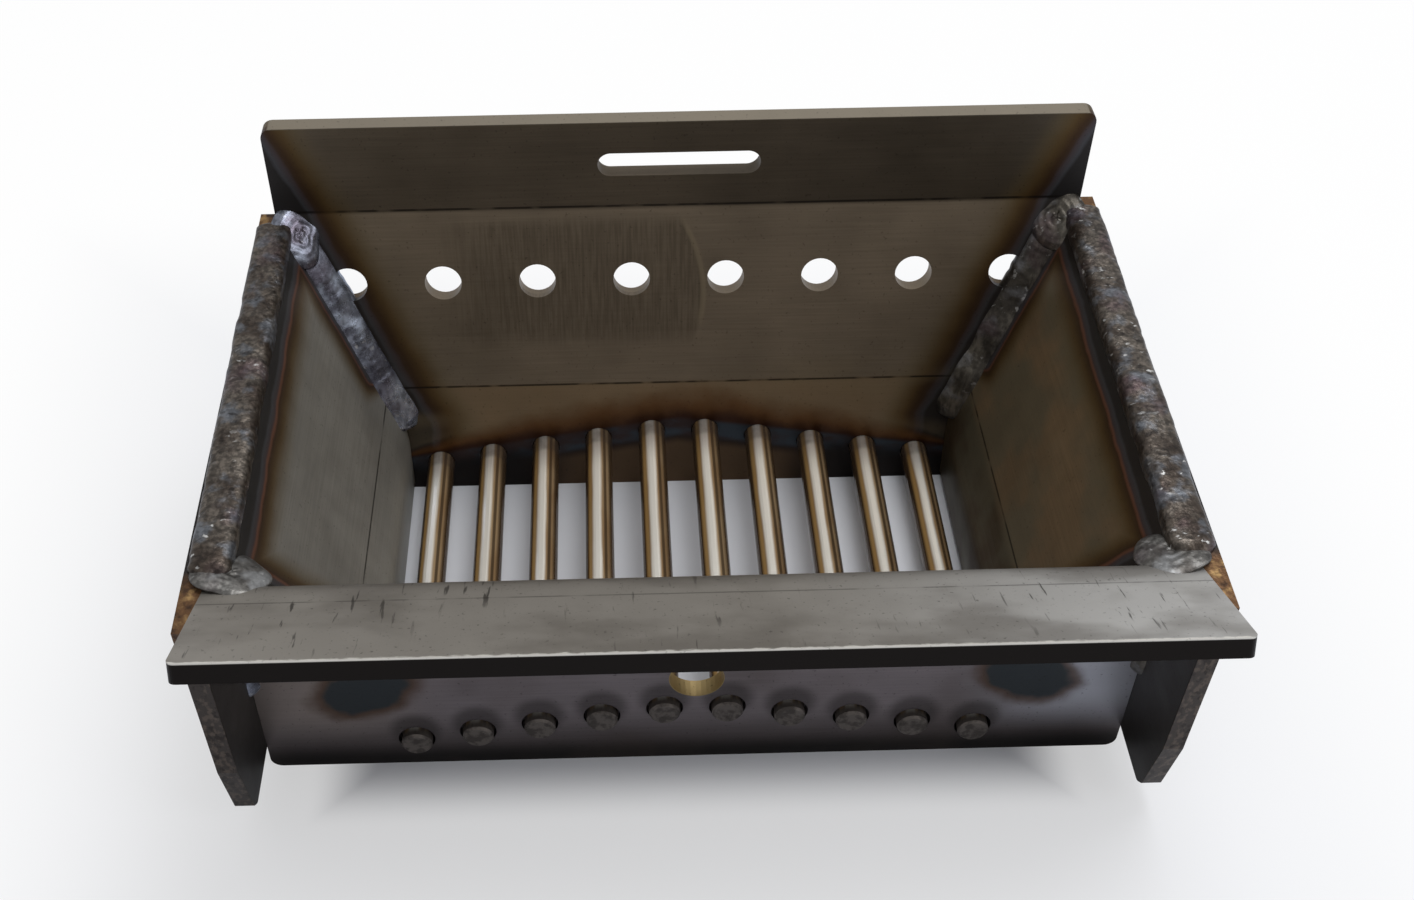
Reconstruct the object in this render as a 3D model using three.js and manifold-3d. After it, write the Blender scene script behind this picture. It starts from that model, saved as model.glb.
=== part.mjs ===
// Pellet-stove burn pot with a round-rod grate floor, welded from bent stainless plate.
// Frame: millimetres, +Z up, +X to the right seen from the front, the front lip points along -Y.
// Origin: middle of the footprint at the height of the bottom edges that the pot stands on.
import * as THREE from 'three';
import { mergeVertices } from 'three/addons/utils/BufferGeometryUtils.js';
import Module from 'manifold-3d';

const wasm = await Module();
wasm.setup();

// ---- driving dimensions -------------------------------------------------
const PLATE = 4.76;              // plate thickness, 3/16 in
const OVERALL_WIDTH = 230;       // over the two side plates
const SIDE_FIT = 0.1;            // clearance at each end of the plates held between the side plates
const BEND_R = 4;                // inside radius of the sharp bends
const SOFT_BEND_R = 38;          // inside radius of the shallow hopper bends
const CORNER_R = 3;              // rounded free corners of the flange and the front wall
const LIP_CORNER_R = 1.8;
const THROUGH = 2 * PLATE;       // cutting tools run past a plate's faces by this much
const ARC_STEPS = 6;             // facets per bend
const HOLE_SEGMENTS = 32;
const JOIN_DISTANCE = 1e-4;      // corners closer than this are one corner

// rods
const ROD_COUNT = 10;
const ROD_DIA = 7.94;            // 5/16 in round bar
const ROD_END_SPACE = 8.7625;    // outermost rod axis to the hopper plate, so that the rods sit 5/8 in apart
const ROD_LOW = 9.5;             // axis height of the outermost rods
const ROD_RISE = 2.54;           // each rod inward sits this much higher, which makes the roof-shaped floor
const ROD_CHAMFER = 0.6;
const ROD_OUT_FRONT = 1.7;       // past the front wall
const ROD_OUT_REAR = 2.2;        // past the back plate
const ROD_BACK_CLEAR = 0.15;     // radial, welded end
const ROD_FRONT_HOLE_DIA = 9.4;  // expansion hole, the rod lies low in it
const ROD_REST = 0.12;           // gap under the rod at the bottom of its expansion hole
const ROD_SEGMENTS = 24;

// front plate: vertical wall, forward-leaning wall, rising lip
const FRONT_BEND_Z = 42.1;
const FRONT_LEAN = 21;           // degrees from vertical
const LIP_SLOPE = 22.85;         // degrees above horizontal
const LIP_FRONT_Y = -45.1;       // top front edge, from the front wall's outer face
const LIP_FRONT_Z = 97.0;
const CENTRE_HOLE_DIA = 13.6;
const CENTRE_HOLE_Z = 31.7;

// back plate: near-vertical foot, leaning middle with air holes, vertical flange with a lifting slot
const BACK_INNER_Y = 102.4;      // front face at the bottom edge, from the front wall's outer face
const BACK_LOW_LEAN = 4.5;
const BACK_BEND_Z = 37.6;
const BACK_LEAN = 10.8;
const FLANGE_BEND_Z = 92.1;
const BACK_TOP_Z = 119;
const AIR_HOLES = 8;
const AIR_HOLE_DIA = 10.3;
const AIR_HOLE_INSET = 17.74;    // outermost air hole's axis to the plate's end
const AIR_HOLE_Z = 70.7;
const SLOT_LENGTH = 43.8;
const SLOT_HEIGHT = 7.1;
const SLOT_BELOW_TOP = 13.1;

// side plates
const SIDE_TOP_FRONT = [-25.7, 83.5];   // Y from the front wall's outer face, Z
const SIDE_TOP_REAR_Z = 89.4;
const SIDE_CHAMFER_TOP = [-24.0, 30.6];
const SIDE_CHAMFER_END = [-19.7, 10.6];
const SIDE_FOOT_Y = -16.9;
const SIDE_BOTTOM_Z = 7.9;
const FOOT_R = 2.4;

// hopper plates
const HOPPER_SET_IN = 34.8;      // inner face of the upright part, from the side plate's outer face
const HOPPER_BEND_Z = 24.4;      // height where upright and slope would meet
const HOPPER_SLOPE = 22.4;       // degrees from vertical
const HOPPER_BOTTOM_Z = 2;
const HOPPER_END_GAP = 0.3;      // to the front and back plates

// welds
const WELD_SEAT = 0.3;           // each bead stands off the plates by this much
const CAP_BEAD_HEIGHT = 2.8;
const CAP_BEAD_INSET = 0.3;
const CAP_BEAD_FACETS = 10;
const FILLET_R = 5.2;            // rear hopper corners
const FILLET_LOW_Z = 27;
const PUDDLE = [7.5, 6.5, 6];    // half sizes of the rear corner puddle
const FRONT_PAD = [8.6, 7.2, 4.4];
const LEG_BEAD_R = 3.6;
const LEG_BEAD_LOW_Z = 29;
const LEG_BEAD_SHARE = 0.9;      // of the leaning wall's height
const TACK_R = 3.6;
const TACK_Z = [20, 37];
const RING_BEAD_LEG = 2.8;
const RING_GAP = 0.15;
const RING_RIM = 0.5;            // height of the ring's outer rim over the plate
const RING_SHOULDER = 1.54;      // height halfway up the ring
const BEAD_STEPS = 14;
const PUDDLE_FACETS = [28, 18];

// ---- derived dimensions -------------------------------------------------
const DEG = Math.PI / 180;
const sideInner = OVERALL_WIDTH / 2 - PLATE;
const sheetHalf = sideInner - SIDE_FIT;
const hopperInnerX = OVERALL_WIDTH / 2 - HOPPER_SET_IN;
const rodR = ROD_DIA / 2;
const tan = (a) => Math.tan(a * DEG);
const v2 = (x, y) => new THREE.Vector2(x, y);

const backBendY = BACK_INNER_Y + BACK_BEND_Z * tan(BACK_LOW_LEAN);
const flangeY = backBendY + (FLANGE_BEND_Z - BACK_BEND_Z) * tan(BACK_LEAN);
const backFace = [
  v2(BACK_INNER_Y, 0), v2(backBendY, BACK_BEND_Z), v2(flangeY, FLANGE_BEND_Z), v2(flangeY, BACK_TOP_Z),
];

// where the leaning front wall's inner face meets the lip's top face
const lipMeetZ = (() => {
  const s = tan(LIP_SLOPE);
  const l = tan(FRONT_LEAN);
  return (LIP_FRONT_Z - s * (PLATE - LIP_FRONT_Y + FRONT_BEND_Z * l)) / (1 - s * l);
})();
const lipMeetY = PLATE - (lipMeetZ - FRONT_BEND_Z) * tan(FRONT_LEAN);
const frontFace = [
  v2(PLATE, 0), v2(PLATE, FRONT_BEND_Z), v2(lipMeetY, lipMeetZ), v2(LIP_FRONT_Y, LIP_FRONT_Z),
];

// ---- 2D helpers ---------------------------------------------------------
function filleted(points, radii) {
  const out = [points[0].clone()];
  for (let i = 1; i < points.length - 1; i++) {
    const p = points[i];
    const a = points[i - 1].clone().sub(p).normalize();
    const b = points[i + 1].clone().sub(p).normalize();
    const half = a.angleTo(b) / 2;
    const r = radii[i];
    const centre = a.clone().add(b).normalize().multiplyScalar(r / Math.sin(half)).add(p);
    const from = a.clone().multiplyScalar(r / Math.tan(half)).add(p).sub(centre);
    const to = b.clone().multiplyScalar(r / Math.tan(half)).add(p).sub(centre);
    const sweep = Math.atan2(from.cross(to), from.dot(to));
    for (let k = 0; k <= ARC_STEPS; k++) {
      out.push(from.clone().rotateAround(v2(0, 0), (sweep * k) / ARC_STEPS).add(centre));
    }
  }
  out.push(points[points.length - 1].clone());
  return out;
}

// the line moved sideways by distance d, positive to the left of travel
function moved(points, d) {
  return points.map((p, i) => {
    const before = i > 0 ? p.clone().sub(points[i - 1]).normalize() : null;
    const after = i < points.length - 1 ? points[i + 1].clone().sub(p).normalize() : null;
    const u = before ?? after;
    const w = after ?? before;
    const n = v2(-u.y - w.y, u.x + w.x).normalize();
    const scale = d / (n.x * -u.y + n.y * u.x);
    return p.clone().addScaledVector(n, scale);
  });
}

// closed outline of a bent plate whose reference face is the given line; grow thickens both faces
function bentOutline(face, side, bendR, grow = 0) {
  const near = moved(face, -side * grow);
  const far = moved(face, side * (PLATE + grow));
  const radii = { near: [], far: [] };
  for (let i = 1; i < face.length - 1; i++) {
    const u = face[i].clone().sub(face[i - 1]);
    const w = face[i + 1].clone().sub(face[i]);
    const farInside = Math.sign(u.cross(w)) === side;
    radii.near[i] = farInside ? bendR[i] + PLATE + grow : Math.max(bendR[i] - grow, grow);
    radii.far[i] = farInside ? Math.max(bendR[i] - grow, grow) : bendR[i] + PLATE + grow;
  }
  for (const line of [near, far]) {
    line[0].lerp(line[1], (face[0].y - line[0].y) / (line[1].y - line[0].y));
  }
  return [...filleted(near, radii.near), ...filleted(far, radii.far).reverse()];
}

// ---- 3D helpers ---------------------------------------------------------
const EX = new THREE.Vector3(1, 0, 0);
const EY = new THREE.Vector3(0, 1, 0);
const EZ = new THREE.Vector3(0, 0, 1);

// outline drawn in (Y, Z), thickened along X from x0 to x1
function alongX(outline, x0, x1) {
  const geo = new THREE.ExtrudeGeometry(new THREE.Shape(outline), { depth: x1 - x0, bevelEnabled: false });
  return geo.applyMatrix4(new THREE.Matrix4().makeBasis(EY, EZ, EX).setPosition(x0, 0, 0));
}

// outline drawn in (X, Z), thickened along Y from y0 to y1
function alongY(shape, y0, y1) {
  const curveSegments = HOLE_SEGMENTS / 2;
  const geo = new THREE.ExtrudeGeometry(shape, { depth: y1 - y0, bevelEnabled: false, curveSegments });
  return geo.applyMatrix4(new THREE.Matrix4().makeBasis(EX, EZ, EY.clone().negate()).setPosition(0, y1, 0));
}

function solid(geometry) {
  const g = geometry.clone();
  for (const name of Object.keys(g.attributes).filter((n) => n !== 'position')) g.deleteAttribute(name);
  const merged = mergeVertices(g, JOIN_DISTANCE);
  return new wasm.Manifold(new wasm.Mesh({
    numProp: 3,
    vertProperties: Float32Array.from(merged.attributes.position.array),
    triVerts: Uint32Array.from(merged.index.array),
  }));
}

function geometryOf(body) {
  const mesh = body.getMesh();
  const geo = new THREE.BufferGeometry();
  geo.setAttribute('position', new THREE.BufferAttribute(Float32Array.from(mesh.vertProperties), 3));
  geo.setIndex(new THREE.BufferAttribute(Uint32Array.from(mesh.triVerts), 1));
  geo.computeVertexNormals();
  return geo;
}

function cut(body, cutters) {
  return cutters.reduce((rest, c) => rest.subtract(c), body);
}

// the biggest single body that is left after cutting
function largest(body) {
  return body.decompose().sort((a, b) => b.volume() - a.volume())[0];
}

// the same piece on the other side of the middle plane
function mirrored(geometry) {
  const geo = geometry.clone();
  const p = geo.attributes.position;
  for (let i = 0; i < p.count; i++) p.setX(i, -p.getX(i));
  const index = geo.index.array;
  for (let i = 0; i < index.length; i += 3) [index[i + 1], index[i + 2]] = [index[i + 2], index[i + 1]];
  geo.computeVertexNormals();
  return geo;
}

function rodY(r, x, z, y0, y1, segments = HOLE_SEGMENTS) {
  return new THREE.CylinderGeometry(r, r, y1 - y0, segments).translate(x, (y0 + y1) / 2, z);
}

// the region between both ends of the sheets, with its two corners at height z rounded; open end far away
function roundedEnd(z, farZ, r) {
  const corners = [v2(-sheetHalf, farZ), v2(-sheetHalf, z), v2(sheetHalf, z), v2(sheetHalf, farZ)];
  return new THREE.Shape(filleted(corners, [0, r, r]));
}

// ---- plates -------------------------------------------------------------
const sharp = [0, BEND_R, BEND_R];
const backOutline = (grow) => bentOutline(backFace, -1, sharp, grow);
const frontOutline = (grow) => bentOutline(frontFace, 1, sharp, grow);
const rodX = (i) => (hopperInnerX - ROD_END_SPACE) * ((2 * i) / (ROD_COUNT - 1) - 1);
const rodZ = (i) => ROD_LOW + ROD_RISE * Math.min(i, ROD_COUNT - 1 - i);

// height of the side plates' top edge
const sideTopSlope = (SIDE_TOP_REAR_Z - SIDE_TOP_FRONT[1]) / (flangeY + PLATE - SIDE_TOP_FRONT[0]);
const sideTopZ = (y) => SIDE_TOP_FRONT[1] + (y - SIDE_TOP_FRONT[0]) * sideTopSlope;

// a bent sheet as long as the gap between the side plates, before its corners are rounded
const longSheet = (outline) => solid(alongX(outline, -sheetHalf - PLATE, sheetHalf + PLATE));

function backPlate() {
  const corners = roundedEnd(BACK_TOP_Z, -THROUGH, CORNER_R);
  const upright = solid(alongY(corners, BACK_INNER_Y - THROUGH, flangeY + THROUGH));
  const body = longSheet(backOutline(0)).intersect(upright);
  const cutters = [];
  for (let i = 0; i < ROD_COUNT; i++) {
    const drill = rodY(rodR + ROD_BACK_CLEAR, rodX(i), rodZ(i), BACK_INNER_Y - THROUGH, backBendY + THROUGH);
    cutters.push(solid(drill));
  }
  const airY = backBendY + (AIR_HOLE_Z - BACK_BEND_Z) * tan(BACK_LEAN);
  for (let i = 0; i < AIR_HOLES; i++) {
    const drill = new THREE.CylinderGeometry(AIR_HOLE_DIA / 2, AIR_HOLE_DIA / 2, 2 * THROUGH, HOLE_SEGMENTS);
    const x = (sheetHalf - AIR_HOLE_INSET) * ((2 * i) / (AIR_HOLES - 1) - 1);
    drill.rotateX(-BACK_LEAN * DEG).translate(x, airY, AIR_HOLE_Z);
    cutters.push(solid(drill));
  }
  const r = SLOT_HEIGHT / 2;
  const reach = SLOT_LENGTH / 2 - r;
  const slot = new THREE.Shape();
  const slotZ = BACK_TOP_Z - SLOT_BELOW_TOP;
  slot.absarc(reach, slotZ, r, -Math.PI / 2, Math.PI / 2, false);
  slot.absarc(-reach, slotZ, r, Math.PI / 2, (3 * Math.PI) / 2, false);
  cutters.push(solid(alongY(slot, flangeY - THROUGH, flangeY + THROUGH)));
  return cut(body, cutters);
}

function frontPlate() {
  const foot = alongY(roundedEnd(0, BACK_TOP_Z, CORNER_R), LIP_FRONT_Y - THROUGH, THROUGH);
  const slope = LIP_SLOPE * DEG;
  const alongLip = new THREE.Vector3(0, -Math.cos(slope), Math.sin(slope));
  const down = EX.clone().cross(alongLip);
  const tip = new THREE.Vector3(0, LIP_FRONT_Y, LIP_FRONT_Z).addScaledVector(down, -THROUGH);
  const lip = new THREE.ExtrudeGeometry(roundedEnd(0, -OVERALL_WIDTH, LIP_CORNER_R), {
    depth: OVERALL_WIDTH, bevelEnabled: false,
  });
  lip.applyMatrix4(new THREE.Matrix4().makeBasis(EX, alongLip, down).setPosition(tip));
  const body = longSheet(frontOutline(0)).intersect(solid(foot)).intersect(solid(lip));
  const cutters = [];
  const rise = ROD_FRONT_HOLE_DIA / 2 - rodR - ROD_REST;
  for (let i = 0; i < ROD_COUNT; i++) {
    cutters.push(solid(rodY(ROD_FRONT_HOLE_DIA / 2, rodX(i), rodZ(i) + rise, -PLATE, THROUGH)));
  }
  cutters.push(solid(rodY(CENTRE_HOLE_DIA / 2, 0, CENTRE_HOLE_Z, -PLATE, THROUGH)));
  return cut(body, cutters);
}

function sideOutline() {
  const rear = moved(backFace, -PLATE).slice(0, 3);
  const at = (z) => {
    const i = z < rear[1].y ? 0 : 1;
    return rear[i].x + ((z - rear[i].y) * (rear[i + 1].x - rear[i].x)) / (rear[i + 1].y - rear[i].y);
  };
  const topRearY = at(SIDE_TOP_REAR_Z);
  const corners = [
    v2(...SIDE_TOP_FRONT), v2(...SIDE_CHAMFER_TOP), v2(...SIDE_CHAMFER_END), v2(SIDE_FOOT_Y, SIDE_BOTTOM_Z),
    v2(at(SIDE_BOTTOM_Z), SIDE_BOTTOM_Z), rear[1], v2(topRearY, sideTopZ(topRearY)),
  ];
  const radii = [0, FOOT_R, FOOT_R, FOOT_R, FOOT_R, FOOT_R];
  return filleted(corners, radii);
}

const sidePlate = (grow) => solid(alongX(
  grow ? moved([...sideOutline(), sideOutline()[0]], -grow).slice(0, -1) : sideOutline(),
  sideInner - grow, OVERALL_WIDTH / 2 + grow));

// hopper inner face in (X, Z), and its trimming region in (Y, Z)
const hopperTopZ = SIDE_TOP_REAR_Z + THROUGH;
const hopperX = (z) => hopperInnerX + Math.max(0, z - HOPPER_BEND_Z) * tan(HOPPER_SLOPE);
const hopperFace = [
  v2(hopperInnerX, HOPPER_BOTTOM_Z), v2(hopperInnerX, HOPPER_BEND_Z), v2(hopperX(hopperTopZ), hopperTopZ),
];

function hopperPlate(grow) {
  const section = new THREE.Shape(bentOutline(hopperFace, -1, [0, SOFT_BEND_R], grow));
  const bar = solid(alongY(section, LIP_FRONT_Y, flangeY));
  const back = filleted(moved(backFace, HOPPER_END_GAP - grow), [0, BEND_R + PLATE, BEND_R]);
  const front = filleted(moved(frontFace, grow - HOPPER_END_GAP), [0, BEND_R + PLATE, BEND_R + PLATE]);
  const keepLow = (p) => p.y < sideTopZ(p.x) + grow;
  const topAt = (line) => {
    const i = line.findIndex((p) => !keepLow(p));
    const a = line[i - 1];
    const b = line[i];
    const fa = a.y - sideTopZ(a.x) - grow;
    const fb = b.y - sideTopZ(b.x) - grow;
    return [...line.slice(0, i), a.clone().lerp(b, fa / (fa - fb))];
  };
  const region = [...topAt(back), ...topAt(front).reverse()];
  const window = solid(alongX(region, hopperInnerX - THROUGH, sideInner - (grow ? 0 : SIDE_FIT)));
  return bar.intersect(window);
}

// ---- weld beads ---------------------------------------------------------
const thick = {
  back: longSheet(backOutline(WELD_SEAT)),
  front: longSheet(frontOutline(WELD_SEAT)),
  side: sidePlate(WELD_SEAT),
  hopper: hopperPlate(WELD_SEAT),
};

// the back plate's front face at height z
function backY(z) {
  if (z < BACK_BEND_Z) return BACK_INNER_Y + z * tan(BACK_LOW_LEAN);
  return backBendY + (z - BACK_BEND_Z) * tan(BACK_LEAN);
}
const capFrontY = lipMeetY + BEND_R;
const capInnerX = hopperX(sideTopZ(capFrontY));

// dome over the side plate's and hopper plate's top edges
function capBead(grow) {
  const rearY = backY(SIDE_TOP_REAR_Z) - WELD_SEAT;
  const outer = OVERALL_WIDTH / 2 - CAP_BEAD_INSET + grow;
  const inner = capInnerX - grow;
  const mid = (outer + inner) / 2;
  const outline = new THREE.Shape();
  outline.moveTo(inner, WELD_SEAT - grow);
  outline.lineTo(outer, WELD_SEAT - grow);
  outline.absellipse(mid, WELD_SEAT, (outer - inner) / 2, CAP_BEAD_HEIGHT + grow, 0, Math.PI, false);
  const slope = Math.atan(sideTopSlope);
  const along = new THREE.Vector3(0, Math.cos(slope), Math.sin(slope));
  const up = new THREE.Vector3(0, -Math.sin(slope), Math.cos(slope));
  const geo = new THREE.ExtrudeGeometry(outline, {
    depth: (rearY - capFrontY) / Math.cos(slope), bevelEnabled: false, curveSegments: CAP_BEAD_FACETS,
  });
  const frame = new THREE.Matrix4().makeBasis(EX, up, along.negate());
  geo.applyMatrix4(frame.setPosition(0, rearY, sideTopZ(rearY)));
  return solid(geo).subtract(thick.back);
}

function tubeAlong(points, r) {
  const section = new THREE.Shape();
  section.absarc(0, 0, r, 0, 2 * Math.PI, false);
  const path = new THREE.CurvePath();
  for (let i = 1; i < points.length; i++) path.add(new THREE.LineCurve3(points[i - 1], points[i]));
  return solid(new THREE.ExtrudeGeometry(section, {
    extrudePath: path, steps: BEAD_STEPS, bevelEnabled: false, curveSegments: BEAD_STEPS,
  }));
}

function puddleOf(size, x, y, z) {
  return solid(new THREE.SphereGeometry(1, ...PUDDLE_FACETS).scale(...size).translate(x, y, z));
}
const plates = [thick.back, thick.front, thick.side, thick.hopper];

// everything outboard of the cap bead's inner edge
const underCap = solid(alongX([
  v2(LIP_FRONT_Y, 0), v2(flangeY + THROUGH, 0), v2(flangeY + THROUGH, BACK_TOP_Z),
  v2(LIP_FRONT_Y, BACK_TOP_Z),
], capInnerX - WELD_SEAT, OVERALL_WIDTH));

// fillet in the corner between a hopper plate and the back plate, with the puddle at its top
function rearFillet() {
  const top = SIDE_TOP_REAR_Z - CAP_BEAD_HEIGHT;
  const at = (z) => new THREE.Vector3(hopperX(z), backY(z), z);
  const run = tubeAlong([at(FILLET_LOW_Z), at(BACK_BEND_Z), at(top)], FILLET_R);
  const puddle = puddleOf(PUDDLE, hopperX(top), backY(top), top);
  return largest(cut(run.add(puddle), [...plates, underCap]));
}

// pad where the cap bead, the front bend and the hopper plate's front end meet
function frontPad(cap) {
  const y = lipMeetY + WELD_SEAT;
  const pad = puddleOf(FRONT_PAD, sideInner - FRONT_PAD[1], y, lipMeetZ);
  return largest(cut(pad, [...plates, cap]));
}

// outside fillet between the front wall and the part of the side plate that stands in front of it
function legBead() {
  const outside = moved(frontFace, PLATE);
  const lean = outside[2].clone().sub(outside[1]);
  const end = outside[1].clone().addScaledVector(lean, LEG_BEAD_SHARE);
  const at = (p) => new THREE.Vector3(sideInner, p.x, p.y);
  const run = tubeAlong([at(v2(0, LEG_BEAD_LOW_Z)), at(outside[1]), at(end)], LEG_BEAD_R);
  return largest(cut(run, plates));
}

// short inside fillet between a hopper plate and the front wall
function tack() {
  const at = (z) => new THREE.Vector3(hopperX(z), PLATE, z);
  const run = tubeAlong([at(TACK_Z[0]), at(HOPPER_BEND_Z), at(TACK_Z[1])], TACK_R);
  return largest(cut(run, plates));
}

// ring fillet round a rod's rear end, on the outside of the back plate
function rodRing(i) {
  const z = rodZ(i);
  const y = backY(z) + PLATE / Math.cos(BACK_LOW_LEAN * DEG);
  const r0 = rodR + RING_GAP;
  const r1 = r0 + RING_BEAD_LEG;
  const inPlate = -PLATE / 2;
  const profile = [
    v2(r0, inPlate), v2(r1, inPlate), v2(r1, RING_RIM), v2((r0 + r1) / 2, RING_SHOULDER),
    v2(r0, ROD_OUT_REAR), v2(r0, inPlate),
  ];
  const ring = new THREE.LatheGeometry(profile, HOLE_SEGMENTS).translate(rodX(i), y, z);
  return largest(solid(ring).subtract(thick.back));
}

function grateRod(i) {
  const y0 = -ROD_OUT_FRONT;
  const y1 = backY(rodZ(i)) + PLATE / Math.cos(BACK_LOW_LEAN * DEG) + ROD_OUT_REAR;
  const face = rodR - ROD_CHAMFER;
  const profile = [
    v2(0, y0), v2(face, y0), v2(rodR, y0 + ROD_CHAMFER), v2(rodR, y1 - ROD_CHAMFER), v2(face, y1), v2(0, y1),
  ];
  return solid(new THREE.LatheGeometry(profile, ROD_SEGMENTS).translate(rodX(i), 0, rodZ(i)));
}

// ---- assembly -----------------------------------------------------------
const METALNESS = 0.9;
const steel = (color, roughness) => (
  new THREE.MeshStandardMaterial({ color, roughness, metalness: METALNESS }));
const looks = {
  plate: () => steel(0x5e5a57, 0.5),
  rod: () => steel(0x8d857a, 0.32),
  weld: () => steel(0x4d4f56, 0.42),
};

const pot = new THREE.Group();
function place(name, geometry, look) {
  const mesh = new THREE.Mesh(geometry, looks[look]());
  mesh.name = name;
  pot.add(mesh);
}
function placePair(name, body, look) {
  const geometry = geometryOf(body);
  place(`${name}_right`, geometry, look);
  place(`${name}_left`, mirrored(geometry), look);
}

place('back_plate', geometryOf(backPlate()), 'plate');
place('front_plate', geometryOf(frontPlate()), 'plate');
placePair('side_plate', sidePlate(0), 'plate');
placePair('hopper_plate', hopperPlate(0), 'plate');
for (let i = 0; i < ROD_COUNT; i++) place(`grate_rod_${i + 1}`, geometryOf(grateRod(i)), 'rod');
for (let i = 0; i < ROD_COUNT; i++) place(`rod_weld_${i + 1}`, geometryOf(rodRing(i)), 'weld');
placePair('top_seam_weld', capBead(0), 'weld');
placePair('rear_corner_weld', rearFillet(), 'weld');
placePair('front_corner_weld', frontPad(capBead(WELD_SEAT)), 'weld');
placePair('front_outer_weld', legBead(), 'weld');
placePair('hopper_front_weld', tack(), 'weld');

// the footprint's middle comes to the origin
const box = new THREE.Box3().setFromObject(pot);
pot.position.set(0, -(box.min.y + box.max.y) / 2, 0);
pot.updateMatrixWorld(true);

export default pot;
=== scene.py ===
import math

import bpy
import numpy as np
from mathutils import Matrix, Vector


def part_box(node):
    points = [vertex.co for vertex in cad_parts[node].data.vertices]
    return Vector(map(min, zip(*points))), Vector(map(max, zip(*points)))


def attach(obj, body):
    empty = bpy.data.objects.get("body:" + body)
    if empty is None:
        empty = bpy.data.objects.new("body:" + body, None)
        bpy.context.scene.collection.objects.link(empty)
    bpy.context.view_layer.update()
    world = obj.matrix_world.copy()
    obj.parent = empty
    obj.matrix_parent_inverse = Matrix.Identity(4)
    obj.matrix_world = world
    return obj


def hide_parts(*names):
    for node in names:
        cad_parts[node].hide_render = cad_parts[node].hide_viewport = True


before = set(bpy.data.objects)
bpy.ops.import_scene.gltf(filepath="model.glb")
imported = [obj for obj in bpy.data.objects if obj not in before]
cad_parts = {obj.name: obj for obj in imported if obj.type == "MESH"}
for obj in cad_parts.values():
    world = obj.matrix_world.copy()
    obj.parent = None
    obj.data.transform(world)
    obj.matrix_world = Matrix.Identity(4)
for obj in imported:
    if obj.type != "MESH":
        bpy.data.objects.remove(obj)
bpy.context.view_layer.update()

# A pellet stove's burn pot, welded from bent stainless plates, with a grate of round rods as its floor.

MM = 0.001

# ---- sizes of the pot, in millimetres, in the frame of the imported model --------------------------
side_low, side_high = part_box("side_plate_right")
PLATE = 4.76                                        # thickness of every plate
SIDE_OUTER_X = round(side_high.x / MM, 3)
SIDE_INNER_X = SIDE_OUTER_X - PLATE
SIDE_TOP_FRONT_Y = side_low.y / MM
SIDE_TOP_FRONT_Z, SIDE_TOP_REAR_Z = 83.5, 89.4
SIDE_STANDS_OUT = 25.7                              # of the front wall, at the top
SIDE_CHAMFER_Z = 30.6                               # the cut front edge leans back below this height
SIDE_EDGE_RAKE, SIDE_CHAMFER_RAKE = 0.032, 0.215
FRONT_WALL_Y = SIDE_TOP_FRONT_Y + SIDE_STANDS_OUT   # outer face of the front wall
FRONT_BEND_Z, FRONT_LEAN, LIP_SLOPE = 42.1, 21.0, 22.85
LIP_FRONT_Y, LIP_FRONT_Z = FRONT_WALL_Y - 45.1, 97.0
CENTRE_HOLE_Z, CENTRE_HOLE_R = 31.7, 6.8
BACK_FOOT_Y = FRONT_WALL_Y + 102.4
BACK_BEND_Z, BACK_LOW_LEAN = 37.6, 4.5
FLANGE_BEND_Z, BACK_LEAN, BACK_TOP_Z = 92.1, 10.8, 119.0
HOPPER_X, HOPPER_BEND_Z, HOPPER_SLOPE = 80.2, 24.4, 22.4
ROD_COUNT, ROD_PITCH, ROD_LOW, ROD_RISE = 10, 15.875, 9.5, 2.54
SIDES = {"right": 1, "left": -1}

# ---- marks left by heat, tools and use, and one painted shadow, in millimetres -------------------
HEAT_REACH = 26.0                                   # how far oxide colours spread from a bead
HOPPER_LINE_Z = 36.0                                # scribed bend line on each hopper plate
LIP_LINE = 9.5                                      # scribed bend line, ahead of the lip's rear edge
BRUSHED_LEFT_X, BRUSHED_RIGHT_X = -72.0, 7.0        # abrasive-brushed patch on the back plate
BRUSHED_LOW_Z, BRUSHED_MIDDLE_Z, BRUSHED_HIGH_Z = 48.0, 66.0, 91.0
BRUSHED_BOW = 0.012                                 # its sharp right edge is bowed like the disc that made it
TACK_Z, TACK_OUT, TACK_RAKE = 30.0, 2.4, 0.35       # oval marks of the inside tacks on the front wall
TACK_HALF_WIDTH, TACK_HALF_HEIGHT = 11.0, 9.5
# painted shadow: how far above each bar's centre the dark patch painted over its hole is centred
SOOT_ABOVE_ROD = 4.2


def tan(degrees):
    return math.tan(math.radians(degrees))


def facing(degrees):
    """How far a plate that leans by degrees looks sideways and how far it looks up."""
    return math.cos(math.radians(degrees)), math.sin(math.radians(degrees))


BACK_BEND_Y = BACK_FOOT_Y + BACK_BEND_Z * tan(BACK_LOW_LEAN)
FLANGE_Y = BACK_BEND_Y + (FLANGE_BEND_Z - BACK_BEND_Z) * tan(BACK_LEAN)
SIDE_TOP_SLOPE = (SIDE_TOP_REAR_Z - SIDE_TOP_FRONT_Z) / (FLANGE_Y + PLATE - SIDE_TOP_FRONT_Y)
# the lip's top face and the wall's inner face meet in this line
LIP_RUN = FRONT_WALL_Y + PLATE - LIP_FRONT_Y + FRONT_BEND_Z * tan(FRONT_LEAN)
LIP_MEET_Z = (LIP_FRONT_Z - tan(LIP_SLOPE) * LIP_RUN) / (1 - tan(LIP_SLOPE) * tan(FRONT_LEAN))
LIP_MEET_Y = FRONT_WALL_Y + PLATE - (LIP_MEET_Z - FRONT_BEND_Z) * tan(FRONT_LEAN)


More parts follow.
